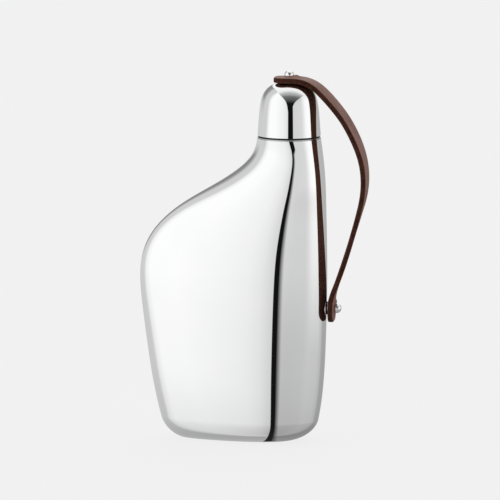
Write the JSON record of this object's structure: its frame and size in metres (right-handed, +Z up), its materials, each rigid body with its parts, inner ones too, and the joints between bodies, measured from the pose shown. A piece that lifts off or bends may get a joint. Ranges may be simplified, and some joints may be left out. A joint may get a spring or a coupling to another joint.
{
  "type": "pocket flask",
  "caption": "Flattened polished steel pocket flask with a sloping shoulder, a screw cap and a leather carrying strap buttoned on ball studs.",
  "frame": {"origin": "middle of the flat base, on the face the flask stands on", "axes": "+Z up through the cap, +X towards the strap, the front faces -Y"},
  "size_m": [0.0894, 0.0314, 0.1453],
  "materials": {
    "polished_steel": "mirror polished stainless steel",
    "stud_steel": "polished stainless steel",
    "turned_steel": "fine turned",
    "seal_rubber": "matte",
    "liner_plastic": "satin",
    "strap_leather": "smooth dyed, raw cut edges"
  },
  "bodies": {
    "flask": {"front_shell": "polished_steel", "rear_shell": "polished_steel", "neck_insert": "turned_steel", "neck_gasket": "seal_rubber", "side_boss": "turned_steel", "side_stud_washer": "seal_rubber", "side_stud": "stud_steel", "strap_lower": "strap_leather"},
    "strap_end": {"strap_upper": "strap_leather"},
    "cap": {"cap_shell": "polished_steel", "cap_liner": "liner_plastic", "cap_seal": "seal_rubber", "cap_stud_washer": "seal_rubber", "cap_stud": "stud_steel", "cap_stud_lock_washer": "turned_steel", "cap_stud_nut": "turned_steel"}
  },
  "joints": [
    {"name": "cap_rise", "type": "slide", "parent": "flask", "child": "strap_end", "axis": [0, 0, 1], "range_m": [0, 0.0096]},
    {"name": "cap_turn", "type": "hinge", "parent": "strap_end", "child": "cap", "pos_m": [0.0169, 0, 0.1201], "axis": [0, 0, 1], "range_deg": [0, 1152]}
  ],
  "couplings": [
    {"joint": "cap_turn", "follows": "cap_rise", "rad_per_m": 2094.4}
  ]
}
